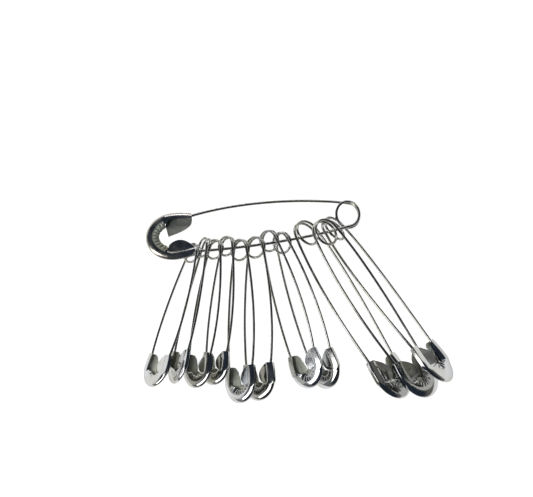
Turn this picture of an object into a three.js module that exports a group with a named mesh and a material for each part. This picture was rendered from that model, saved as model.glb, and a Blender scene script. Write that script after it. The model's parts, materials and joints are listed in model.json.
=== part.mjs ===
// A bunch of twelve steel safety pins: one large pin carries eleven closed pins by their coils.
// Units are millimetres, Z is up, and the bunch lies on the plane z = 0.
// Each pin is one spring wire and one guard. The wire is built as a back arm, a coil of one and a half
// turns and a pointed arm, and the guard is a strip of sheet steel folded round the ends of both arms.
// In a pin's own frame X runs from the coil's centre to the guard, and the pointed arm lies on +Y.

import * as THREE from 'three';

// Sizes of the carrier, which the other pins hang on. A coil's width lies across the pin, and its width
// and length are those of its centre line. An arm's bow is how far it stands off the pin's middle line.
const carrierPin = {
  length: 54,
  wire: 0.72,
  coilWidth: 6.9,
  coilLength: 5.8,
  pointArmBow: 5.2,
  backArmBow: 5.9,
  pointArmGap: 0.45,
  guardLength: 12,
  guardWidth: 12.5,
  guardShift: 0.3,
  mouthWidth: 11.3,
  guardThickness: 1.7,
  sheet: 0.26,
  channelWidth: 1.5,
  leafDrop: 0,
  leafDepth: 4.9,
  tongueDepth: 5.9,
  lipDepth: 1.6,
  backLipDepth: 1.9,
  bendDepth: 2.9,
};

// Sizes of the three long strung pins
const longPin = {
  length: 51,
  wire: 0.68,
  coilWidth: 6.5,
  coilLength: 6.5,
  pointArmBow: 5.5,
  backArmBow: 4.9,
  pointArmGap: 0.12,
  guardLength: 11.3,
  guardWidth: 11.8,
  guardShift: 0,
  mouthWidth: 10.7,
  guardThickness: 1.6,
  sheet: 0.25,
  channelWidth: 1.4,
  leafDrop: 0.45,
  leafDepth: 6.2,
  tongueDepth: 6,
  lipDepth: 1.9,
  backLipDepth: 3.6,
  bendDepth: 4.4,
};

// Sizes of the four strung pins of middle length
const middlePin = {
  length: 41,
  wire: 0.62,
  coilWidth: 5.2,
  coilLength: 5.2,
  pointArmBow: 4.4,
  backArmBow: 3.9,
  pointArmGap: 0.12,
  guardLength: 9.1,
  guardWidth: 9.5,
  guardShift: 0,
  mouthWidth: 8.7,
  guardThickness: 1.4,
  sheet: 0.24,
  channelWidth: 1.2,
  leafDrop: 0.38,
  leafDepth: 4.3,
  tongueDepth: 4.6,
  lipDepth: 1.6,
  backLipDepth: 1.3,
  bendDepth: 2.9,
};

// Sizes of the four short strung pins
const shortPin = {
  length: 37.5,
  wire: 0.6,
  coilWidth: 4.8,
  coilLength: 4.8,
  pointArmBow: 4.05,
  backArmBow: 3.6,
  pointArmGap: 0.12,
  guardLength: 8.3,
  guardWidth: 8.7,
  guardShift: 0,
  mouthWidth: 7.9,
  guardThickness: 1.3,
  sheet: 0.23,
  channelWidth: 1.1,
  leafDrop: 0.34,
  leafDepth: 3.9,
  tongueDepth: 4.2,
  lipDepth: 1.4,
  backLipDepth: 1.2,
  bendDepth: 2.7,
};

// Clearances
const turnGap = 0.43;
const wireJointGap = 0.16;
const backArmGap = 0.12;
const eyeGap = 0.12;

// The drawn point of a pointed arm, in wire diameters, and its blunt end as a share of the wire
const pointLengthShare = 4.5;
const pointEndShare = 0.12;

// The bow of an arm: its handles along the arm, how soon it reaches its bow, and its end in the guard
const firstHandleShare = 0.28;
const lastHandleShare = 0.67;
const handleRiseShare = 1.04;
const insideHandleShare = 0.35;
const armEndShare = 0.55;

// The guard's outline and flanges, in shares of its length from the mouth to the bend
const widestShare = 0.42;
const leafEndShare = 0.66;
const leafFullnessShare = 0.75;
const tongueEndShare = 0.535;
const tongueFullnessShare = 0.5;
const bendStartShare = 0.5;
const fullDropShare = 0.55;

// Sections along an arm, along half a guard and round a wire, a coil and a guard's folded rim
const armShares = [0, 0.12, 0.25, 0.38, 0.51, 0.64, 0.76, 0.85, 0.9, 0.95, 1];
const guardShares = [0, 0.1, 0.22, 0.36, 0.5, 0.54, 0.66, 0.8, 0.92, 1];
const wireSides = 8;
const coilSteps = 21;
const rimSteps = 4;

// How the carrier lies, turned and leaning in degrees. The strung coils hold it up: its guard clears the
// plane by the guard lift, and the middle of its coil is at the coil height.
const carrierTurnDegrees = -83.1;
const carrierLeanDegrees = 8;
const carrierGuardLift = 0.6;
const carrierCoilHeight = 2.4;

// The strung pins from the carrier's guard to its coil. alongShare is the place on the carrier's pointed
// arm, counted from its coil, and reachShare is how far the pin's coil centre lies past that arm, as a
// share of the room in the coil's eye. turn and lean are in degrees. The lift shares tell how high its wire
// and guard lie, in guard thicknesses. A pin of the other hand is turned over and its guard is mirrored.
const strungPins = [
  {
    size: shortPin, alongShare: 0.87, reachShare: 0.3, turn: -16, lean: 45,
    wireLiftShare: 0, guardLiftShare: 0.54,
  },
  {
    size: shortPin, alongShare: 0.81, reachShare: -0.45, turn: -11.5, lean: 58,
    wireLiftShare: 0.04, guardLiftShare: 0.5,
  },
  {
    size: shortPin, alongShare: 0.75, reachShare: -0.05, turn: -7.5, lean: 37,
    wireLiftShare: 0.06, guardLiftShare: 0,
  },
  {
    size: shortPin, alongShare: 0.685, reachShare: -0.4, turn: -5, lean: 39,
    wireLiftShare: 0, guardLiftShare: 0,
  },
  {
    size: middlePin, alongShare: 0.61, reachShare: 0.4, turn: 0.5, lean: 39,
    wireLiftShare: 0.02, guardLiftShare: 0,
  },
  {
    size: middlePin, alongShare: 0.525, reachShare: 0.3, turn: 1.5, lean: 35,
    wireLiftShare: 0.18, guardLiftShare: 0,
  },
  {
    size: middlePin, alongShare: 0.445, reachShare: -0.35, turn: 16, lean: 38,
    wireLiftShare: 0.1, guardLiftShare: 0,
  },
  {
    size: middlePin, alongShare: 0.38, reachShare: 0.2, turn: 18, lean: 43,
    wireLiftShare: 0.02, guardLiftShare: 0.08,
  },
  {
    size: longPin, alongShare: 0.23, reachShare: -0.4, turn: 29.5, lean: 137,
    wireLiftShare: 0.18, guardLiftShare: 0.38, otherHand: true,
  },
  {
    size: longPin, alongShare: 0.15, reachShare: 0.4, turn: 33, lean: 145,
    wireLiftShare: 0.98, guardLiftShare: 0.24, otherHand: true,
  },
  {
    size: longPin, alongShare: 0.08, reachShare: -0.2, turn: 35.5, lean: 129,
    wireLiftShare: 0, guardLiftShare: 0.74, otherHand: true,
  },
];

const wireSteel = { color: 0xc9cccd, roughness: 0.18, metalness: 1 };
const sheetSteel = { color: 0xbfc3c4, roughness: 0.24, metalness: 1 };

const halfTurn = Math.PI;
const quarterTurn = Math.PI / 2;
const coilTurns = 1.5;
const settlePasses = 6;
const gapSamples = 240;

// A closed body through rings of points, all with the same even number of points, joined in order. Each
// ring runs counter-clockwise about the way ahead, and its two halves lie opposite each other.
function loft(rings) {
  const count = rings[0].length;
  const faces = [];
  const quad = (a, b, c, d) => faces.push(a, b, c, a, c, d);
  for (let ring = 0; ring < rings.length - 1; ring += 1) {
    const near = ring * count;
    const far = near + count;
    for (let side = 0; side < count; side += 1) {
      const next = (side + 1) % count;
      quad(near + side, near + next, far + next, far + side);
    }
  }
  const last = (rings.length - 1) * count;
  for (let side = 0; side < count / 2 - 1; side += 1) {
    const across = count - 1 - side;
    quad(side, across, across - 1, side + 1);
    quad(last + side, last + side + 1, last + across - 1, last + across);
  }
  const geometry = new THREE.BufferGeometry();
  geometry.setFromPoints(rings.flat());
  geometry.setIndex(faces);
  geometry.computeVertexNormals();
  return geometry;
}

// Round wire along a curve, with sections at the shares given. radiusAt tells the radius at a share.
function wireGeometry(curve, shares, radiusAt) {
  const rings = shares.map((share) => {
    const centre = curve.getPointAt(share);
    const ahead = curve.getTangentAt(share);
    const across = new THREE.Vector3(0, 0, 1).cross(ahead).normalize();
    const above = ahead.clone().cross(across);
    return Array.from({ length: wireSides }, (_, side) => {
      const angle = 2 * halfTurn * side / wireSides;
      return centre.clone()
        .addScaledVector(across, Math.cos(angle) * radiusAt(share))
        .addScaledVector(above, Math.sin(angle) * radiusAt(share));
    });
  });
  return loft(rings);
}

// A coil's centre line: an oval spring whose turns lie apart by the wire and the turn gap
class CoilLine extends THREE.Curve {
  constructor(pin) {
    super();
    this.pin = pin;
    this.trim = wireJointGap / 2 / (halfTurn * pin.coilWidth);
  }

  getPoint(share, target = new THREE.Vector3()) {
    const turns = this.trim + share * (coilTurns - 2 * this.trim);
    const angle = -quarterTurn - 2 * halfTurn * turns;
    return target.set(
      Math.cos(angle) * this.pin.coilLength / 2,
      Math.sin(angle) * this.pin.coilWidth / 2,
      (turns - coilTurns / 2) * turnPitch(this.pin),
    );
  }
}

function turnPitch(pin) {
  return pin.wire + turnGap;
}

// The least gap between a coil's turns, measured on points of its centre line
function leastCoilGap(pin) {
  const points = new CoilLine(pin).getSpacedPoints(gapSamples);
  const apart = Math.round(gapSamples / coilTurns / 2);
  let least = Infinity;
  for (let first = 0; first <= gapSamples - apart; first += 1) {
    for (let second = first + apart; second <= gapSamples; second += 1) {
      least = Math.min(least, points[first].distanceTo(points[second]) - pin.wire);
    }
  }
  return least;
}

// Where the guard's mouth and bend lie along the pin
function guardMouthX(pin) {
  return guardBendX(pin) - pin.guardLength;
}

function guardBendX(pin) {
  return pin.length - (pin.coilLength + pin.wire) / 2;
}

// Half the guard's outer width at a share of its length
function guardHalfWidth(pin, share) {
  if (share <= widestShare) {
    const swell = 1 - (1 - share / widestShare) ** 2;
    return (pin.mouthWidth + (pin.guardWidth - pin.mouthWidth) * swell) / 2;
  }
  const round = (share - widestShare) / (1 - widestShare);
  return Math.sqrt(Math.max(0, 1 - round ** 2)) * pin.guardWidth / 2;
}

// An arm's centre line. It leaves the coil's side, bows out, comes in to the guard's mouth and runs along
// the inside of the guard's rim. side is +1 for the pointed arm and -1 for the back arm.
function armLine(pin, side) {
  const bow = side === 1 ? pin.pointArmBow : pin.backArmBow;
  const gap = side === 1 ? pin.pointArmGap : backArmGap;
  const rimToArm = pin.sheet + gap + pin.wire / 2 - side * pin.guardShift;
  const coilLevel = side * turnPitch(pin) * coilTurns / 2;
  const mouthX = guardMouthX(pin);
  const mouthY = guardHalfWidth(pin, 0) - rimToArm;
  const endX = mouthX + pin.guardLength * armEndShare;
  const endY = guardHalfWidth(pin, armEndShare) - rimToArm;
  const startX = wireJointGap / 2;
  const startY = pin.coilWidth / 2;
  const firstX = startX + (mouthX - startX) * firstHandleShare;
  const lastX = startX + (mouthX - startX) * lastHandleShare;
  const firstY = bow * handleRiseShare;
  const lastY = (8 * bow - startY - mouthY) / 3 - firstY;
  const inside = (endX - mouthX) * insideHandleShare;
  const slope = (mouthY - lastY) / (mouthX - lastX);
  const at = (x, y, z) => new THREE.Vector3(x, side * y, z);
  const line = new THREE.CurvePath();
  line.add(new THREE.CubicBezierCurve3(
    at(startX, startY, coilLevel),
    at(firstX, firstY, coilLevel),
    at(lastX, lastY, 0),
    at(mouthX, mouthY, 0),
  ));
  line.add(new THREE.CubicBezierCurve3(
    at(mouthX, mouthY, 0),
    at(mouthX + inside, mouthY + slope * inside, 0),
    at(endX - inside, endY, 0),
    at(endX, endY, 0),
  ));
  return line;
}

// How far a flange reaches in from the rim. The leaf is the rounded wide flange beside the pointed arm and
// the tongue is the square-ended one beside the back arm. Opposite each lies a lip, narrow up to the bend.
function flangeDepth(pin, form, share) {
  const bend = THREE.MathUtils.smoothstep(share, bendStartShare, 1);
  const lipDepth = form === 'backLip' ? pin.backLipDepth : pin.lipDepth;
  const lip = THREE.MathUtils.lerp(lipDepth, pin.bendDepth, bend);
  if (form === 'leaf' && share < leafEndShare) {
    const swell = Math.sin(halfTurn * share / leafEndShare) ** leafFullnessShare;
    return Math.max(lip, THREE.MathUtils.lerp(pin.lipDepth, pin.leafDepth, swell));
  }
  if (form === 'tongue' && share < tongueEndShare) {
    const swell = Math.sin(quarterTurn * share / tongueEndShare) ** tongueFullnessShare;
    return Math.max(lip, THREE.MathUtils.lerp(pin.lipDepth, pin.tongueDepth, swell));
  }
  return lip;
}

// The section of a guard: its rim, folded into a channel over the wire, with a flange above and one below.
// Past the channel the flanges are pressed towards each other, fully where they are as deep as a leaf.
function guardSection(pin, upper, lower) {
  const outer = pin.guardThickness / 2;
  const inner = outer - pin.sheet;
  const fold = Array.from({ length: rimSteps + 1 }, (_, step) => -quarterTurn - halfTurn * step / rimSteps);
  const onFold = (angle, radius) => [outer + Math.cos(angle) * radius, Math.sin(angle) * radius];
  const dropAt = (depth) => {
    const pressed = (depth - pin.channelWidth) / (pin.leafDepth - pin.channelWidth) / fullDropShare;
    return pin.leafDrop * Math.min(1, pressed);
  };
  return [
    [lower, dropAt(lower) - outer],
    [pin.channelWidth, -outer],
    ...fold.map((angle) => onFold(angle, outer)),
    [pin.channelWidth, outer],
    [upper, outer - dropAt(upper)],
    [upper, inner - dropAt(upper)],
    [pin.channelWidth, inner],
    ...fold.reverse().map((angle) => onFold(angle, inner)),
    [pin.channelWidth, -inner],
    [lower, dropAt(lower) - inner],
  ];
}

// A guard, lofted along its rim from the pointed arm's mouth round the bend to the back arm's mouth. The
// leaf is on the face that leafFace names, +1 or -1, and the tongue is on the other.
function guardGeometry(pin, leafFace) {
  const bendLength = pin.guardLength * (1 - widestShare);
  const rings = [];
  const ring = (share, side) => {
    const x = guardMouthX(pin) + pin.guardLength * share;
    const y = guardHalfWidth(pin, share);
    const inward = new THREE.Vector2(0, -1);
    if (share > widestShare) {
      const pastWidest = pin.guardLength * (share - widestShare);
      inward.set(-pastWidest / bendLength ** 2, -y / (pin.guardWidth / 2) ** 2).normalize();
    }
    const wide = flangeDepth(pin, side === 1 ? 'leaf' : 'tongue', share);
    const narrow = flangeDepth(pin, side === 1 ? 'lip' : 'backLip', share);
    const section = side === leafFace
      ? guardSection(pin, wide, narrow)
      : guardSection(pin, narrow, wide);
    rings.push(section.map(([depth, z]) => new THREE.Vector3(
      x + inward.x * depth,
      side * (y + inward.y * depth) + pin.guardShift,
      z,
    )));
  };
  guardShares.forEach((share) => ring(share, 1));
  guardShares.slice(0, -1).reverse().forEach((share) => ring(share, -1));
  return loft(rings);
}

// One pin as a group of four pieces, in its own frame
function makePin(pin, name, leafFace) {
  const group = new THREE.Group();
  const full = () => pin.wire / 2;
  const pointLine = armLine(pin, 1);
  const pointStart = 1 - pointLengthShare * pin.wire / pointLine.getLength();
  const pointed = (share) => {
    const drawn = Math.max(0, (share - pointStart) / (1 - pointStart));
    return THREE.MathUtils.lerp(1, pointEndShare, drawn) * pin.wire / 2;
  };
  const coilShares = Array.from({ length: coilSteps + 1 }, (_, step) => step / coilSteps);
  const add = (piece, geometry, steel) => {
    const mesh = new THREE.Mesh(geometry, new THREE.MeshStandardMaterial(steel));
    mesh.name = `${name}_${piece}`;
    group.add(mesh);
    return mesh;
  };
  group.userData.wire = [
    add('back_arm', wireGeometry(armLine(pin, -1), armShares, full), wireSteel),
    add('coil', wireGeometry(new CoilLine(pin), coilShares, full), wireSteel),
    add('point_arm', wireGeometry(pointLine, armShares, pointed), wireSteel),
  ];
  group.userData.guard = [add('guard', guardGeometry(pin, leafFace), sheetSteel)];
  return group;
}

function lowest(meshes) {
  const heights = meshes.map((mesh) => {
    mesh.parent.updateMatrixWorld(true);
    return new THREE.Box3().setFromObject(mesh, true).min.z;
  });
  return Math.min(...heights);
}

// Turns a pin about Z, leans it about its own length and tilts it until its guard is as high as asked.
// Where a wire lift is given, the pin is also raised or lowered until its wire is that high.
function layDown(group, pin, turn, lean, guardLift, wireLift) {
  group.rotation.order = 'ZYX';
  group.rotation.set(THREE.MathUtils.degToRad(lean), 0, THREE.MathUtils.degToRad(turn) - quarterTurn);
  for (let pass = 0; pass < settlePasses; pass += 1) {
    if (wireLift !== undefined) group.position.z += wireLift - lowest(group.userData.wire);
    const rise = guardLift - lowest(group.userData.guard);
    group.rotation.y -= Math.asin(rise / guardBendX(pin));
  }
}

const bunch = new THREE.Group();

const carrier = makePin(carrierPin, 'carrier', 1);
carrier.position.z = carrierCoilHeight;
layDown(carrier, carrierPin, carrierTurnDegrees, carrierLeanDegrees, carrierGuardLift);
carrier.updateMatrixWorld(true);
bunch.add(carrier);

const threadLine = armLine(carrierPin, 1);
strungPins.forEach((place, index) => {
  const pin = place.size;
  const strung = makePin(pin, `pin_${String(index + 1).padStart(2, '0')}`, place.otherHand ? -1 : 1);
  const eyeRoom = (Math.min(pin.coilLength, pin.coilWidth) - pin.wire - carrierPin.wire) / 2 - eyeGap;
  const turn = THREE.MathUtils.degToRad(place.turn);
  const ahead = new THREE.Vector3(Math.sin(turn), -Math.cos(turn), 0);
  strung.position.copy(threadLine.getPointAt(place.alongShare)).applyMatrix4(carrier.matrixWorld);
  strung.position.addScaledVector(ahead, eyeRoom * place.reachShare);
  layDown(
    strung,
    pin,
    place.turn,
    place.lean,
    pin.guardThickness * place.guardLiftShare,
    pin.guardThickness * place.wireLiftShare,
  );
  bunch.add(strung);
});

// The bunch stands on z = 0 with the middle of its box over the origin
const box = new THREE.Box3().setFromObject(bunch, true);
const middle = box.getCenter(new THREE.Vector3());
bunch.position.set(-middle.x, -middle.y, -box.min.z);

for (const pin of [carrierPin, longPin, middlePin, shortPin]) {
  console.log(`least gap between turns of the ${pin.length} mm pin: ${leastCoilGap(pin).toFixed(3)} mm`);
}

export default bunch;
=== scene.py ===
"""A bunch of nickel-plated safety pins: one large pin with eleven smaller pins hung on it by their coils.

Each pin is drawn in its own frame, which its opening joint and its guard give: X runs from the coil to the
guard, the pointed arm lies on +Y and Z is the coil's axis. A pin's sizes are in millimetres. add_piece turns
them into metres and sets the piece in its place. A share is a part of the guard's length, from its mouth.
"""

import json
import math

import bpy
import numpy as np
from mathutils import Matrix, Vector


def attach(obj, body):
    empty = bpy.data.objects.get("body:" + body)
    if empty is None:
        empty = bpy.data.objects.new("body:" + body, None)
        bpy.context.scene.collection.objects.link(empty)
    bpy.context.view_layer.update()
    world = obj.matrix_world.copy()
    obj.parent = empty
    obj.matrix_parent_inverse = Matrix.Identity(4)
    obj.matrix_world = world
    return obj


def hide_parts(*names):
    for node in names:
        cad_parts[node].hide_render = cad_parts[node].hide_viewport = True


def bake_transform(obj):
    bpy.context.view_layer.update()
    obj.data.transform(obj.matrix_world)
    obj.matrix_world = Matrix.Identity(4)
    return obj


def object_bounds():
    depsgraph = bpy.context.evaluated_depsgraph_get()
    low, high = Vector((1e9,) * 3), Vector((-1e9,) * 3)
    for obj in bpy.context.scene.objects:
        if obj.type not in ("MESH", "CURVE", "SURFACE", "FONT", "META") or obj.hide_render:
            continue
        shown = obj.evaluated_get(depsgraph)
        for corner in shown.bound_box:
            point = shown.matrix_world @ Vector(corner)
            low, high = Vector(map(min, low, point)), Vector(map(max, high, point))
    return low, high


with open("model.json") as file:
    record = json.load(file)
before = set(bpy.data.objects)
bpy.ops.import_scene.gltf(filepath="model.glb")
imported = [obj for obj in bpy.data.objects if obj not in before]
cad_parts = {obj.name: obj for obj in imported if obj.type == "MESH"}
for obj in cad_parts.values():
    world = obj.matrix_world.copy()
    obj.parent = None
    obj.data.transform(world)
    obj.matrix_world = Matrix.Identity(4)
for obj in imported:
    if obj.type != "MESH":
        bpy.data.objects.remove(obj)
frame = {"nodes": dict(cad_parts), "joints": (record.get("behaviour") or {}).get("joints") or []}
cad_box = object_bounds()

MM = 0.001

# Wire, coil and guard are as large as the solids'. The channel, webs, lips, leaf and its drop and rise are
# set so that each face of the sheet shows what it shows in the photograph.
CARRIER = dict(
    length=54, wire=0.72, coil_width=6.9, coil_length=5.8, point_bow=5.2, back_bow=5.9, point_gap=0.45,
    guard_length=12, guard_width=12.5, guard_shift=0.3, mouth_width=11.3, thickness=1.7, sheet=0.26,
    channel=1.5, drop=0.12, rise=0.0, leaf=4.9, tongue=5.9, lip=1.6, back_lip=1.9, near_web=3.4,
    far_web=3.3, pleats=12, pleat_height=0.2, roundness=1.0, dull_crimp=True,
)
LONG = dict(
    length=51, wire=0.68, coil_width=6.5, coil_length=6.5, point_bow=5.5, back_bow=4.9, point_gap=0.12,
    guard_length=11.3, guard_width=11.8, guard_shift=0, mouth_width=10.7, thickness=1.6, sheet=0.25,
    channel=1.8, drop=0.5, rise=0.45, leaf=6.2, tongue=6.0, lip=1.9, back_lip=4.6, near_web=5.0,
    far_web=5.8, pleats=9, pleat_height=0.1, roundness=0.0, dull_crimp=False,
)
MIDDLE = dict(
    length=41, wire=0.62, coil_width=5.2, coil_length=5.2, point_bow=4.4, back_bow=3.9, point_gap=0.12,
    guard_length=9.1, guard_width=9.5, guard_shift=0, mouth_width=8.7, thickness=1.4, sheet=0.24,
    channel=1.5, drop=0.22, rise=0.06, leaf=4.3, tongue=4.6, lip=1.6, back_lip=1.55, near_web=3.2,
    far_web=4.6, pleats=9, pleat_height=0.02, roundness=0.1, dull_crimp=False,
)
SHORT = dict(
    length=37.5, wire=0.6, coil_width=4.8, coil_length=4.8, point_bow=4.05, back_bow=3.6, point_gap=0.12,
    guard_length=8.3, guard_width=8.7, guard_shift=0, mouth_width=7.9, thickness=1.3, sheet=0.23,
    channel=1.35, drop=0.2, rise=0.06, leaf=3.9, tongue=4.2, lip=1.4, back_lip=1.4, near_web=3.0,
    far_web=4.2, pleats=9, pleat_height=0.02, roundness=0.1, dull_crimp=False,
)

# Each pin's name and sizes, and whether its guard is the mirror image of the others
PINS = [("carrier", CARRIER, False)]
PINS += [(f"pin_{n:02d}", SHORT, False) for n in (1, 2, 3, 4)]
PINS += [(f"pin_{n:02d}", MIDDLE, False) for n in (5, 6, 7, 8)]
PINS += [
    ("pin_09", LONG, True), ("pin_10", dict(LONG, drop=0.3, rise=0.0), True),
    ("pin_11", dict(LONG, drop=1.0, rise=1.0), True),
]

# The coil, in turns and millimetres
COIL_TURNS = 1.5
TURN_GAP = 0.42
COIL_INSET = 0.06
JOINING_TRIES = 12

# The arms: gap to the sheet in millimetres, and the handles that bow them, as shares of the arm's length
BACK_GAP = 0.12
BOW_REACH = 1.04
COIL_HANDLE = 0.28
GUARD_HANDLE = 0.67
ARM_IN_GUARD = 0.55
IN_GUARD_HANDLE = 0.35

# The drawn point: its length in wire widths, how full it stays, and its tip's share of the wire
POINT_LENGTH = 4.5
POINT_FULLNESS = 0.9
POINT_TIP = 0.02

# How finely the wire is drawn
WIRE_SIDES = 20
BOW_STEPS = 90
IN_GUARD_STEPS = 16
COIL_STEPS = 400
ARM_RINGS = 84
POINT_RINGS = ARM_RINGS + 24
COIL_RINGS = 110

# Where the guard changes, as shares of its length
WIDEST = 0.42
LEAF_END = 0.66
TONGUE_END = 0.6
WEB_START = 0.44
WEB_FULL = 0.64
BEND_START = 0.5
BEND_BLEND = 0.16
INWARD_BLEND = 0.35

# The outline of leaf and tongue: a lower power makes a fuller shoulder
LEAF_SHOULDER = 0.75
TONGUE_SHOULDER = 0.5

# The pressed step beside the channel, and the tongue's crease
LEAF_STEP = 0.5
TONGUE_STEP = 0.3
TONGUE_STEP_DEPTH = 0.25
CREASE = 0.45

# The fold over the wire: its side wall, its corner in millimetres, and how its steps are shared out
WALL = 0.7
CORNER = 0.16
WALL_STEPS = 0.3
ROOF_FROM = 0.65

# The domed bend with its pleats
CREST = 0.5
DOME = 0.97
EDGE_GAP = 0.05
LEAST_FLANGE = 0.05
LEAST_SLOPE = 0.01
PLEAT_START = 1.5
UNEVEN_PLEATS = 7

# How finely the sheet is drawn, and how its stations keep clear of the tongue's square end
FOLD_STEPS = 10
FLANGE_STEPS = 14
SIDE_STATIONS = 20
BEND_STATIONS = 44
END_CLEAR = 0.006
BEFORE_END = 0.001
AFTER_END = 0.004
LINE_STEP = 0.2

EDGE_ROUNDING = 0.05
SHARP_ANGLE = math.radians(48)

# The camera looks down on the bunch from 78 degrees, 0.4 m away, as the photograph does
CAMERA_ELEVATION = 78
CAMERA_DISTANCE = 0.4
CAMERA_LENS = 108.07
SENSOR = 36
NEAREST_SEEN = 0.01
AIM_FROM_CARRIER_COIL = (-0.020275, -0.008153)

# The studio: a low bright wall on one side, dim on the others, under a dark bluish ceiling
BRIGHT_SIDE = (-0.85, 0.53, 0.0)
BRIGHT_SIDE_STRENGTH = 1.1
BRIGHT_SIDE_HEIGHT = 0.265
BRIGHT_SIDE_EDGES = (0.68, 0.85)
BRIGHT_TOP_EDGES = (0.75, 1.25)
DARK_SIDE_STRENGTH = 0.12
CEILING_STRENGTH = 0.045
CEILING_TINT = (0.5, 0.68, 1.0, 1)
FLOOR_HALF = 3
FLOOR_WHITE = 0.93
FLOOR_ROUGHNESS = 0.9
FLOOR_GLOW = 0.86


def smooth(value):
    value = min(max(value, 0.0), 1.0)
    return value * value * (3 - 2 * value)


def mix(a, b, share):
    return a + (b - a) * share


# Where a pin stands


def pin_frame(name, pin):
    """The pin's own frame: its coil's middle, and its axes as the columns of a matrix."""
    opens = next(j for j in frame["joints"] if j["name"] == f"{name}_opens")
    centre = np.array(opens["pos_m"], float)
    z = np.array(opens["axis"], float)
    z /= np.linalg.norm(z)
    guard = np.array([v.co for v in frame["nodes"][f"{name}_guard"].data.vertices], float) - centre
    shift = pin["guard_shift"] * MM
    x = guard.mean(0)
    # X turns until the guard's two sides lie as far from it as the guard's shift says
    for _ in range(8):
        x = x - z * (x @ z)
        x /= np.linalg.norm(x)
        y = np.cross(z, x)
        across = guard @ y
        middle = (across.max() + across.min()) / 2 - shift
        x = x + y * middle / (guard @ x).max()
    x = x - z * (x @ z)
    x /= np.linalg.norm(x)
    return centre, np.stack([x, np.cross(z, x), z], 1)


def mouth_x(pin):
    """Where the guard begins."""
    return pin["length"] - (pin["coil_length"] + pin["wire"]) / 2 - pin["guard_length"]


def half_width(pin, share):
    """Half of the guard's width, which swells from the mouth and closes in a half ellipse."""
    if share <= WIDEST:
        return mix(pin["mouth_width"], pin["guard_width"], 1 - (1 - share / WIDEST) ** 2) / 2
    return math.sqrt(max(0.0, 1 - ((share - WIDEST) / (1 - WIDEST)) ** 2)) * pin["guard_width"] / 2


# The wire


def bowed_line(p0, p1, p2, p3, count):
    """A line from p0 to p3 that is drawn towards the handles p1 and p2."""
    t = np.linspace(0, 1, count)[:, None]
    p0, p1, p2, p3 = (np.array(p, float) for p in (p0, p1, p2, p3))
    return (1 - t) ** 3 * p0 + 3 * (1 - t) ** 2 * t * p1 + 3 * (1 - t) * t * t * p2 + t ** 3 * p3


def coil_point(pin, turns):
    angle = -math.pi / 2 - 2 * math.pi * turns
    pitch = pin["wire"] + TURN_GAP
    return np.array([
        math.cos(angle) * (pin["coil_length"] / 2 - COIL_INSET),
        math.sin(angle) * (pin["coil_width"] / 2 - COIL_INSET),
        (turns - COIL_TURNS / 2) * pitch,
    ])


def arm_line(pin, side):
    """The arm's line from where it leaves the coil to its end in the guard, and the coil's turn there."""
    bow = pin["point_bow"] if side == 1 else pin["back_bow"]
    gap = pin["point_gap"] if side == 1 else BACK_GAP
    rim_to_arm = pin["sheet"] + gap + pin["wire"] / 2 - side * pin["guard_shift"]
    mouth = np.array([mouth_x(pin), half_width(pin, 0) - rim_to_arm, 0])
    end = np.array([
        mouth_x(pin) + pin["guard_length"] * ARM_IN_GUARD, half_width(pin, ARM_IN_GUARD) - rim_to_arm, 0,
    ])
    # The two handles stand so that the middle of the arm lies at the bow
    first_y = bow * BOW_REACH
    last_y = (8 * bow - pin["coil_width"] / 2 - mouth[1]) / 3 - first_y
    first_x = mouth[0] * COIL_HANDLE
    last = np.array([mouth[0] * GUARD_HANDLE, last_y, 0])
    # The wire leaves the coil where the coil runs towards the arm's bow
    turn = 0.0
    for _ in range(JOINING_TRIES):
        start = coil_point(pin, COIL_TURNS - turn)
        slope = math.atan2(first_y - start[1], first_x - start[0])
        swing = math.atan2(math.tan(slope) * pin["coil_length"], pin["coil_width"])
        turn = swing / (2 * math.pi)
    start = coil_point(pin, COIL_TURNS - turn)
    first = np.array([first_x, first_y, start[2]])
    inside = (end[0] - mouth[0]) * IN_GUARD_HANDLE
    slope = (mouth[1] - last_y) / (mouth[0] - last[0])
    outer = bowed_line(start, first, last, mouth, BOW_STEPS)
    inner = bowed_line(
        mouth, mouth + [inside, slope * inside, 0], end - [inside, 0, 0], end, IN_GUARD_STEPS
    )
    line = np.concatenate([outer, inner[1:]])
    if side == -1:
        line = line * [1, -1, -1]
    return line, turn


def even_rings(line, count):
    """The same line with its points evenly spaced, and each point's distance along it."""
    steps = np.linalg.norm(np.diff(line, axis=0), axis=1)
    along = np.concatenate([[0], np.cumsum(steps)])
    places = np.linspace(0, along[-1], count)
    return np.stack([np.interp(places, along, line[:, k]) for k in range(3)], 1), places


def direction(line, at):
    """The line's direction at its first (0) or last (-1) point."""
    step = line[1] - line[0] if at == 0 else line[-1] - line[-2]
    return step / np.linalg.norm(step)


def drawn_wire(line, radii, along, first=None, last=None):
    """Vertices, faces and lengthwise coordinates of a round wire, with the directions of its ends."""
    count = len(line)
    tangents = np.gradient(line, axis=0)
    if first is not None:
        tangents[0] = first
    if last is not None:
        tangents[-1] = last
    tangents /= np.linalg.norm(tangents, axis=1)[:, None]
    across = np.cross(np.array([0, 0, 1.0]), tangents)
    across /= np.linalg.norm(across, axis=1)[:, None]
    above = np.cross(tangents, across)
    angles = np.linspace(0, 2 * math.pi, WIRE_SIDES, endpoint=False)
    verts = (
        line[:, None, :]
        + across[:, None, :] * np.cos(angles)[None, :, None] * radii[:, None, None]
        + above[:, None, :] * np.sin(angles)[None, :, None] * radii[:, None, None]
    ).reshape(-1, 3)
    faces = ring_faces(count, WIRE_SIDES)
    faces.append(tuple(range(WIRE_SIDES - 1, -1, -1)))
    faces.append(tuple((count - 1) * WIRE_SIDES + side for side in range(WIRE_SIDES)))
    lengthwise = np.stack([np.repeat(along, WIRE_SIDES), np.tile(angles, count)], 1)
    return verts, faces, lengthwise


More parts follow.
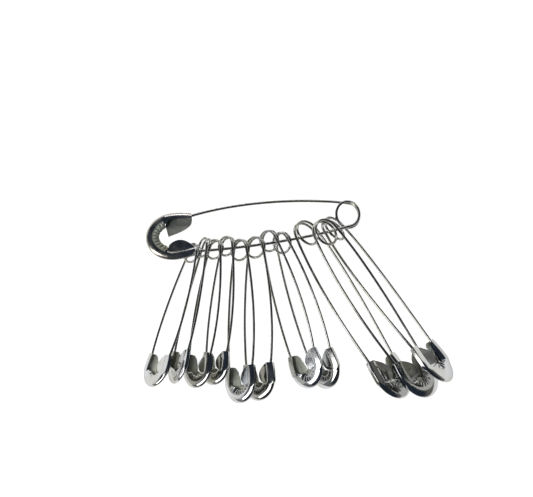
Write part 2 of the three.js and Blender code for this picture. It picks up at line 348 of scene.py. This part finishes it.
def ring_faces(rings, sides):
    """The faces between closed rings of vertices that follow one another."""
    faces = []
    for ring in range(rings - 1):
        for side in range(sides):
            following = (side + 1) % sides
            faces.append((
                ring * sides + side, ring * sides + following,
                (ring + 1) * sides + following, (ring + 1) * sides + side,
            ))
    return faces


# The guard


def bend_share(share):
    """0 along the guard's straight sides and 1 round its bend."""
    return smooth((share - BEND_START) / BEND_BLEND)


def flange(pin, form, share, near):
    """How far a flange reaches in from the rim."""
    web = pin["near_web"] if near else pin["far_web"]
    narrow = pin["lip"]
    if form == "back_lip":
        narrow = mix(min(pin["lip"], pin["back_lip"]), pin["back_lip"], smooth(share / WEB_START))
    base = mix(narrow, web, smooth((share - WEB_START) / (WEB_FULL - WEB_START)))
    if form == "leaf" and share < LEAF_END:
        swell = math.sin(math.pi * share / LEAF_END) ** LEAF_SHOULDER
        return max(base, mix(pin["lip"], pin["leaf"], swell))
    if form == "tongue" and share < TONGUE_END:
        swell = math.sin(math.pi / 2 * share / TONGUE_END) ** TONGUE_SHOULDER
        return max(base, mix(pin["lip"], pin["tongue"], swell))
    return base


def flange_level(pin, form, share, depth, crest, reach, pleat_phase):
    """A flange's height over the mid-plane: pressed down past the channel, and domed at the bend."""
    thick = pin["thickness"] / 2
    past = max(depth - crest, 0.0)
    run = pin["leaf"] - pin["channel"]
    if form == "tongue":
        step = TONGUE_STEP_DEPTH * smooth(past / TONGUE_STEP)
        crease = (1 - TONGUE_STEP_DEPTH) * min(max(past / run - CREASE, 0) / (1 - CREASE), 1)
        straight = thick - pin["drop"] * (step + crease)
    else:
        straight = thick - pin["drop"] * smooth(past / LEAF_STEP) + pin["rise"] * min(past / run, 1.0)
    along = min(past / max(reach - crest, LEAST_SLOPE), 1.0)
    edge = pin["sheet"] + EDGE_GAP
    dome = edge + (thick - edge) * math.sqrt(1 - along * along * DOME)
    dome += math.cos(pleat_phase) * pin["pleat_height"] * smooth(along * PLEAT_START)
    return mix(straight, dome, bend_share(share))


def fold(pin, share, crest):
    """Half of the fold over the wire, from the rim's middle to its crest: a side wall and a low roof."""
    thick = pin["thickness"] / 2
    wall = thick * WALL
    slope = (thick - wall) / crest
    profile = []
    for step in range(FOLD_STEPS + 1):
        part = step / FOLD_STEPS
        angle = part * math.pi / 2
        rounded = np.array([crest * (1 - math.cos(angle)), thick * math.sin(angle)])
        if part < WALL_STEPS:
            square = np.array([0.0, (wall - CORNER) * part / WALL_STEPS])
        elif part < ROOF_FROM:
            turn = (part - WALL_STEPS) / (ROOF_FROM - WALL_STEPS)
            up = wall - CORNER * (1 - turn) ** 2 + CORNER * slope * turn ** 2
            square = np.array([CORNER * turn ** 2, up])
        else:
            reach = CORNER + (crest - CORNER) * (part - ROOF_FROM) / (1 - ROOF_FROM)
            square = np.array([reach, wall + slope * reach])
        profile.append(mix(square, rounded, max(bend_share(share), pin["roundness"])))
    return profile


def rim_stations():
    """Shares of the guard's length round the rim, each with its side, +1 on the pointed arm's."""
    turns = np.sin(np.linspace(0, math.pi / 2, BEND_STATIONS))
    places = list(np.linspace(0, WIDEST, SIDE_STATIONS)[:-1]) + list(WIDEST + (1 - WIDEST) * turns)
    places = [s for s in places if abs(s - TONGUE_END) > END_CLEAR]
    places = sorted(places + [TONGUE_END - BEFORE_END, TONGUE_END + AFTER_END])
    return [(s, 1) for s in places] + [(s, -1) for s in places[-2::-1]]


def inward_from_rim(pin, share):
    """Which way a flange runs in from the rim, on the pointed arm's side."""
    if share <= WIDEST:
        return np.array([0.0, -1.0])
    past = pin["guard_length"] * (share - WIDEST)
    bend_length = pin["guard_length"] * (1 - WIDEST)
    turned = smooth((share - WIDEST) / INWARD_BLEND)
    inward = np.array([
        -past / bend_length ** 2 * turned, -half_width(pin, share) / (pin["guard_width"] / 2) ** 2,
    ])
    return inward / np.linalg.norm(inward)


def guard_section(pin, share, side, leaf_face, inward):
    """The sheet's section at one place of the rim: outer face from the lower edge to the upper, then back."""
    near_form = "leaf" if side == 1 else "back_lip"
    far_form = "lip" if side == 1 else "tongue"
    upper_form, lower_form = (near_form, far_form) if leaf_face == 1 else (far_form, near_form)
    upper = flange(pin, upper_form, share, leaf_face == 1)
    lower = flange(pin, lower_form, share, leaf_face == -1)
    round_angle = math.atan2(-inward[0], -inward[1])
    uneven = side * math.sin(round_angle * UNEVEN_PLEATS) * math.cos(round_angle)
    phase = round_angle * pin["pleats"] * 2 + uneven
    outer = []
    for form, reach, face in ((lower_form, lower, -1), (upper_form, upper, 1)):
        crest = min(mix(pin["channel"], reach * CREST, bend_share(share)), reach - LEAST_FLANGE)
        half = [(d, z * face) for d, z in fold(pin, share, crest)]
        for step in range(1, FLANGE_STEPS + 1):
            depth = mix(crest, reach, step / FLANGE_STEPS)
            half.append((depth, face * flange_level(pin, form, share, depth, crest, reach, phase)))
        outer += half[::-1] if face == -1 else half[1:]
    outer = np.array(outer)
    along = np.gradient(outer, axis=0)
    along /= np.linalg.norm(along, axis=1)[:, None]
    inner = outer + np.stack([along[:, 1], -along[:, 0]], 1) * pin["sheet"]
    return list(outer) + list(inner[::-1])


def folded_guard(pin, leaf_face):
    """A folded sheet round the rim. leaf_face is the face, +1 or -1, that has the leaf.

    Gives its vertices, faces and lengthwise coordinates, and which faces are dull.
    """
    stations = rim_stations()
    verts, lengthwise = [], []
    run = 0.0
    previous = None
    for share, side in stations:
        x = mouth_x(pin) + pin["guard_length"] * share
        y = half_width(pin, share)
        inward = inward_from_rim(pin, share)
        here = np.array([x, side * y])
        run += 0 if previous is None else np.linalg.norm(here - previous)
        previous = here
        for number, (depth, z) in enumerate(guard_section(pin, share, side, leaf_face, inward)):
            verts.append((
                x + inward[0] * depth, side * (y + inward[1] * depth) + pin["guard_shift"], z
            ))
            lengthwise.append((run, number * LINE_STEP))
    outer_count = 2 * FOLD_STEPS + 1 + 2 * FLANGE_STEPS
    count = 2 * outer_count
    faces = ring_faces(len(stations), count)
    # The sheet's inner face is dull, and so are the crimped pleats of the carrier's bend
    crimp_from = 2 * FOLD_STEPS + FLANGE_STEPS
    dull = []
    for ring in range(len(stations) - 1):
        in_bend = pin["dull_crimp"] and stations[ring][0] > LEAF_END
        first_dull = crimp_from if in_bend else outer_count
        dull += range(ring * count + first_dull, ring * count + count - 1)
    last = (len(stations) - 1) * count
    for step in range(outer_count - 1):
        across = count - 1 - step
        faces.append((step, across, across - 1, step + 1))
        faces.append((last + step, last + step + 1, last + across - 1, last + across))
    return np.array(verts), faces, np.array(lengthwise), dull


def add_piece(name, verts, faces, lengthwise, place, materials, bevel=0.0, second=()):
    """A mesh in its place in the bunch. The faces in second have the second material."""
    centre, axes = place
    world = np.clip((np.array(verts) * MM) @ axes.T + centre, cad_box[0], cad_box[1])
    mesh = bpy.data.meshes.new(name)
    mesh.from_pydata([tuple(v) for v in world], [], faces)
    layer = mesh.uv_layers.new(name="run")
    loops = np.zeros(len(mesh.loops), int)
    mesh.loops.foreach_get("vertex_index", loops)
    layer.data.foreach_set("uv", np.array(lengthwise, float)[loops].ravel())
    mesh.update()
    mesh.shade_smooth()
    mesh.set_sharp_from_angle(angle=SHARP_ANGLE)
    for material in materials:
        mesh.materials.append(material)
    for face in second:
        mesh.polygons[face].material_index = 1
    piece = bpy.data.objects.new(name, mesh)
    bpy.context.scene.collection.objects.link(piece)
    if bevel:
        edge = piece.modifiers.new("rounded edge", "BEVEL")
        edge.width = bevel * MM
        edge.segments = 2
        edge.limit_method = "ANGLE"
        edge.angle_limit = SHARP_ANGLE
        edge.harden_normals = True
    return piece


# Plated steel. Sizes of its patterns are per metre, but for the drawn lines, which are per millimetre.

LINE_STRETCH = 0.35
LINE_SCALE, LINE_DETAIL, LINE_STRENGTH = 3.0, 6.0, 0.35
CLOUD_SCALE, CLOUD_DETAIL, CLOUD_RANGE = 420.0, 5.0, (0.3, 0.75)
SHINIEST, DULLEST = 0.65, 1.7
STAIN_SCALE, STAIN_DETAIL, STAIN_EDGES = 160.0, 3.0, (0.36, 0.6)
STAIN_TINT = (0.86, 0.84, 0.76)
GRAIN_SCALE, GRAIN_DETAIL, GRAIN_STRENGTH = 1900.0, 4.0, 0.6


def nickel(name, base, edge, roughness, brushed, speckle=0.0, metallic=1.0, lines=7.0):
    """Plated steel: drawn or rolled lines along the piece, cloudy roughness and faint stains.

    brushed and speckle are the depths of the lines and of the grain, in metres.
    """
    material = bpy.data.materials.new(name)
    material.use_nodes = True
    nodes = material.node_tree.nodes
    links = material.node_tree.links
    surface = nodes["Principled BSDF"]
    surface.inputs["Metallic"].default_value = metallic
    surface.inputs["Specular Tint"].default_value = (*edge, 1)
    on_piece = nodes.new("ShaderNodeTexCoord").outputs["Object"]
    uv = nodes.new("ShaderNodeUVMap")
    uv.uv_map = "run"
    stretch = nodes.new("ShaderNodeMapping")
    stretch.inputs["Scale"].default_value = (LINE_STRETCH, lines, 1.0)
    links.new(uv.outputs[0], stretch.inputs[0])

    def noise(coordinates, scale, detail):
        texture = nodes.new("ShaderNodeTexNoise")
        texture.inputs["Scale"].default_value = scale
        texture.inputs["Detail"].default_value = detail
        links.new(coordinates, texture.inputs[0])
        return texture.outputs[0]

    def relief(height, strength, depth):
        bump = nodes.new("ShaderNodeBump")
        bump.inputs["Strength"].default_value = strength
        bump.inputs["Distance"].default_value = depth
        links.new(height, bump.inputs["Height"])
        return bump

    cloudy = nodes.new("ShaderNodeMapRange")
    cloudy.inputs["From Min"].default_value = CLOUD_RANGE[0]
    cloudy.inputs["From Max"].default_value = CLOUD_RANGE[1]
    cloudy.inputs["To Min"].default_value = roughness * SHINIEST
    cloudy.inputs["To Max"].default_value = roughness * DULLEST
    links.new(noise(on_piece, CLOUD_SCALE, CLOUD_DETAIL), cloudy.inputs[0])
    links.new(cloudy.outputs[0], surface.inputs["Roughness"])
    tint = nodes.new("ShaderNodeValToRGB")
    stained, clean = tint.color_ramp.elements
    stained.position, clean.position = STAIN_EDGES
    stained.color = (*(channel * share for channel, share in zip(base, STAIN_TINT)), 1)
    clean.color = (*base, 1)
    links.new(noise(on_piece, STAIN_SCALE, STAIN_DETAIL), tint.inputs[0])
    links.new(tint.outputs[0], surface.inputs["Base Color"])
    drawn = relief(noise(stretch.outputs[0], LINE_SCALE, LINE_DETAIL), LINE_STRENGTH, brushed)
    grain = relief(noise(on_piece, GRAIN_SCALE, GRAIN_DETAIL), GRAIN_STRENGTH, speckle)
    links.new(drawn.outputs[0], grain.inputs["Normal"])
    links.new(grain.outputs[0], surface.inputs["Normal"])
    return material


wire_metal = nickel("bright drawn wire", (0.5, 0.5, 0.48), (0.35, 0.35, 0.35), 0.17, 0.0)
sheet_metal = nickel(
    "bright pressed sheet", (0.6, 0.605, 0.61), (0.6, 0.6, 0.6), 0.11, 0.000004, lines=0.5
)
inner_metal = nickel(
    "dull inner face of the sheet", (0.6, 0.62, 0.54), (0.5, 0.5, 0.5), 0.36, 0.0004, 0.00003, 0.5, 0.4
)
worn_metal = nickel(
    "worn pressed sheet", (0.62, 0.6, 0.58), (0.5, 0.5, 0.5), 0.2, 0.000003, 0.000002, lines=0.5
)


# The pins


def make_pin(pin_name, pin, other_hand):
    place = pin_frame(pin_name, pin)
    radius = pin["wire"] / 2
    back_line, back_turn = arm_line(pin, -1)
    point_line, point_turn = arm_line(pin, 1)
    turns = np.linspace(back_turn, COIL_TURNS - point_turn, COIL_STEPS)
    coil_line, coil_along = even_rings(np.array([coil_point(pin, t) for t in turns]), COIL_RINGS)
    # Coil and arm share one direction where they meet, so that the wire has no seam
    back_joint = direction(back_line, 0) - direction(coil_line, 0)
    point_joint = direction(point_line, 0) + direction(coil_line, -1)
    coil = add_piece(
        f"{pin_name}_coil_wire",
        *drawn_wire(coil_line, np.full(COIL_RINGS, radius), coil_along, -back_joint, point_joint),
        place, [wire_metal],
    )
    arm, along = even_rings(back_line, ARM_RINGS)
    back = add_piece(
        f"{pin_name}_back_wire",
        *drawn_wire(arm, np.full(ARM_RINGS, radius), along, back_joint), place, [wire_metal],
    )
    arm, along = even_rings(point_line, POINT_RINGS)
    taper = np.clip((along[-1] - along) / (pin["wire"] * POINT_LENGTH), 0, 1)
    radii = radius * np.maximum(np.sin(taper * math.pi / 2) ** POINT_FULLNESS, POINT_TIP)
    point = add_piece(
        f"{pin_name}_point_wire", *drawn_wire(arm, radii, along, point_joint), place, [wire_metal]
    )
    verts, faces, lengthwise, dull = folded_guard(pin, -1 if other_hand else 1)
    outer_metal = worn_metal if pin_name == "carrier" else sheet_metal
    guard = add_piece(
        f"{pin_name}_guard_sheet", verts, faces, lengthwise, place, [outer_metal, inner_metal],
        EDGE_ROUNDING, dull,
    )

    body = pin_name
    arm_body = f"{pin_name}_pointed_arm"
    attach(back, body)
    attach(guard, body)
    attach(point, arm_body)
    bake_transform(coil)
    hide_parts(f"{pin_name}_coil")
    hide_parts(f"{pin_name}_back_arm")
    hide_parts(f"{pin_name}_point_arm")
    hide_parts(f"{pin_name}_guard")


for pin_name, pin, other_hand in PINS:
    make_pin(pin_name, pin, other_hand)


# Floor, light and camera


def white_floor():
    """White paper that looks white to the camera and in the metal, and keeps the bunch's shadow."""
    corners = [(x * FLOOR_HALF, y * FLOOR_HALF, 0) for x, y in ((-1, -1), (1, -1), (1, 1), (-1, 1))]
    mesh = bpy.data.meshes.new("floor")
    mesh.from_pydata(corners, [], [(0, 1, 2, 3)])
    floor = bpy.data.objects.new("floor", mesh)
    bpy.context.scene.collection.objects.link(floor)
    paper = bpy.data.materials.new("white paper")
    paper.use_nodes = True
    nodes = paper.node_tree.nodes
    links = paper.node_tree.links
    surface = nodes["Principled BSDF"]
    surface.inputs["Base Color"].default_value = (FLOOR_WHITE, FLOOR_WHITE, FLOOR_WHITE, 1)
    surface.inputs["Roughness"].default_value = FLOOR_ROUGHNESS
    surface.inputs["Emission Color"].default_value = (1, 1, 1, 1)
    light_path = nodes.new("ShaderNodeLightPath")
    seen = nodes.new("ShaderNodeMath")
    seen.operation = "MAXIMUM"
    links.new(light_path.outputs["Is Camera Ray"], seen.inputs[0])
    links.new(light_path.outputs["Is Glossy Ray"], seen.inputs[1])
    glow = nodes.new("ShaderNodeMath")
    glow.operation = "MULTIPLY"
    glow.inputs[1].default_value = FLOOR_GLOW
    links.new(seen.outputs[0], glow.inputs[0])
    links.new(glow.outputs[0], surface.inputs["Emission Strength"])
    mesh.materials.append(paper)
    return floor


def soft_step(nodes, links, value, edges, levels):
    """A value that goes softly from the first level to the second between two edges."""
    step = nodes.new("ShaderNodeMapRange")
    step.interpolation_type = "SMOOTHSTEP"
    step.inputs["From Min"].default_value, step.inputs["From Max"].default_value = edges
    step.inputs["To Min"].default_value, step.inputs["To Max"].default_value = levels
    links.new(value, step.inputs[0])
    return step.outputs[0]


def studio():
    """Dark surroundings with a low bright wall on one side."""
    world = bpy.data.worlds.new("studio")
    bpy.context.scene.world = world
    world.use_nodes = True
    nodes = world.node_tree.nodes
    links = world.node_tree.links
    background = nodes["Background"]
    seen_way = nodes.new("ShaderNodeTexCoord").outputs["Generated"]
    parts = nodes.new("ShaderNodeSeparateXYZ")
    links.new(seen_way, parts.inputs[0])
    side = nodes.new("ShaderNodeVectorMath")
    side.operation = "DOT_PRODUCT"
    side.inputs[1].default_value = BRIGHT_SIDE
    links.new(seen_way, side.inputs[0])
    wall = soft_step(
        nodes, links, side.outputs["Value"], BRIGHT_SIDE_EDGES, (DARK_SIDE_STRENGTH, BRIGHT_SIDE_STRENGTH)
    )
    top = [BRIGHT_SIDE_HEIGHT * edge for edge in BRIGHT_TOP_EDGES]
    under_ceiling = soft_step(nodes, links, parts.outputs["Z"], top, (1.0, 0.0))
    strength = nodes.new("ShaderNodeMath")
    strength.operation = "MULTIPLY_ADD"
    strength.inputs[2].default_value = CEILING_STRENGTH
    links.new(wall, strength.inputs[0])
    links.new(under_ceiling, strength.inputs[1])
    links.new(strength.outputs[0], background.inputs["Strength"])
    tint = nodes.new("ShaderNodeMix")
    tint.data_type = "RGBA"
    tint.inputs["A"].default_value = CEILING_TINT
    tint.inputs["B"].default_value = (1.0, 1.0, 1.0, 1)
    links.new(under_ceiling, tint.inputs["Factor"])
    links.new(tint.outputs["Result"], background.inputs["Color"])


def soft_box(name, place, size, power):
    """A lamp with a soft cloth front, turned to the middle of the floor."""
    data = bpy.data.lights.new(name, "AREA")
    data.shape = "RECTANGLE"
    data.size = size[0]
    data.size_y = size[1]
    data.energy = power
    light = bpy.data.objects.new(name, data)
    light.location = place
    light.rotation_euler = (-Vector(place)).to_track_quat("-Z", "Y").to_euler()
    bpy.context.scene.collection.objects.link(light)


def look_from_above():
    """The photograph's camera."""
    opens = next(j for j in frame["joints"] if j["name"] == "carrier_opens")
    aim = Vector((
        opens["pos_m"][0] + AIM_FROM_CARRIER_COIL[0], opens["pos_m"][1] + AIM_FROM_CARRIER_COIL[1], 0
    ))
    elevation = math.radians(CAMERA_ELEVATION)
    data = bpy.data.cameras.new("camera")
    data.lens = CAMERA_LENS
    data.sensor_width = SENSOR
    data.clip_start = NEAREST_SEEN
    camera = bpy.data.objects.new("camera", data)
    camera.location = aim + Vector((0, -math.cos(elevation), math.sin(elevation))) * CAMERA_DISTANCE
    camera.rotation_euler = (aim - camera.location).to_track_quat("-Z", "Y").to_euler()
    bpy.context.scene.collection.objects.link(camera)
    return camera


floor = white_floor()
studio()
soft_box("soft box in front", (-0.545, -0.205, 0.48), (0.27, 0.6), 2)
soft_box("soft box behind", (0.1, 0.8, 0.4), (0.8, 0.2), 1.5)
bpy.context.scene.camera = look_from_above()
bpy.context.scene.view_settings.view_transform = "Standard"
